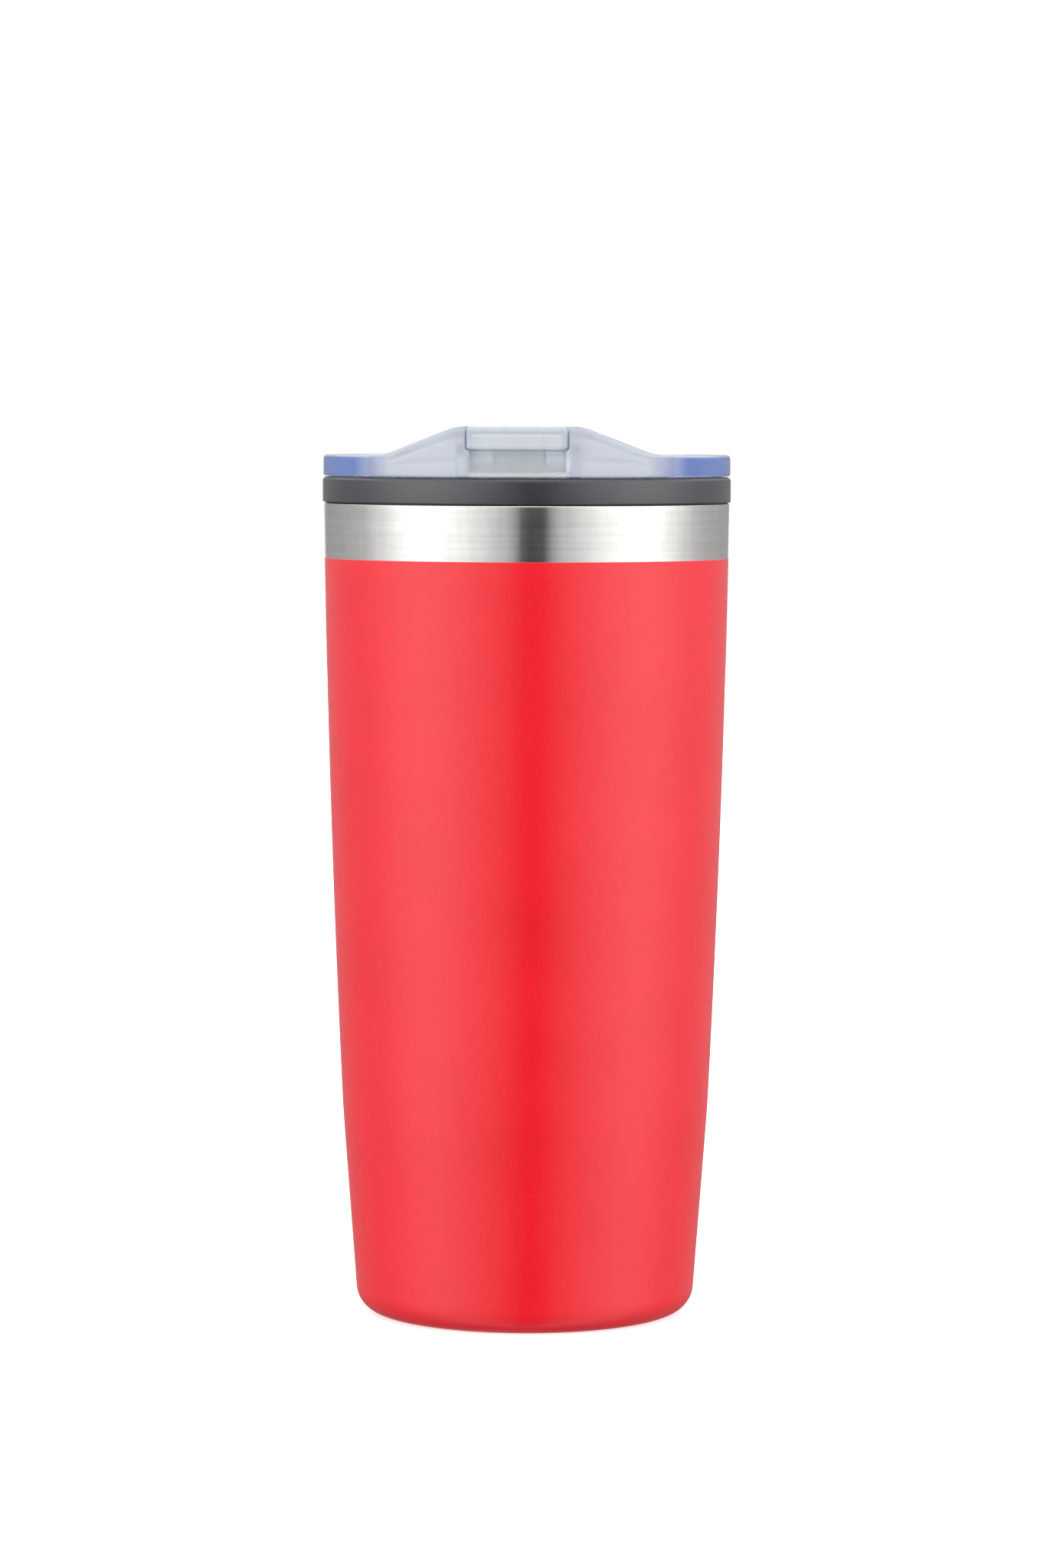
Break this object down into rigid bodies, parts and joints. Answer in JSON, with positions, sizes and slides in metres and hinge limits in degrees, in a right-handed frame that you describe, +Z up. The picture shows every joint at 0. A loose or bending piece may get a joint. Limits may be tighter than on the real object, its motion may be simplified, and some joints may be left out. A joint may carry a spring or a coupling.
{
  "type": "insulated tumbler",
  "caption": "Tapered double-wall tumbler with a painted steel shell, plastic liner and a clear push-on lid with a flip-up drink flap.",
  "frame": {"origin": "centre of the foot, on the table", "axes": "+Z up the cup's axis, the drink flap's tab faces -Y"},
  "size_m": [0.086, 0.086, 0.1876],
  "materials": {
    "brushed_shell": "brushed round the axis",
    "base_steel": "matt drawn steel",
    "red_powder_coat": "satin powder coat with a fine orange peel",
    "grey_liner": "matt fine-grained polypropylene",
    "seal_silicone": "translucent silicone",
    "clear_lid": "clear plastic with a pale blue tint",
    "gasket_silicone": "translucent silicone",
    "clear_flap": "clear plastic with a pale blue tint",
    "stopper_silicone": "translucent silicone"
  },
  "bodies": {
    "cup": {"outer_shell": "brushed_shell", "base_disc": "base_steel", "paint_coat": "red_powder_coat", "inner_liner": "grey_liner", "collar_seal": "seal_silicone"},
    "lid": {"lid_body": "clear_lid", "lid_gasket": "gasket_silicone"},
    "flap": {"drink_flap": "clear_flap", "flap_stopper": "stopper_silicone", "vent_stopper": "stopper_silicone"}
  },
  "joints": [
    {"name": "lid_lift", "type": "slide", "parent": "cup", "child": "lid", "axis": [0, 0, 1], "range_m": [0, 0.08]},
    {"name": "flap_hinge", "type": "hinge", "parent": "lid", "child": "flap", "pos_m": [0, -0.009, 0.1833], "axis": [-1, 0, 0], "range_deg": [0, 155]}
  ]
}
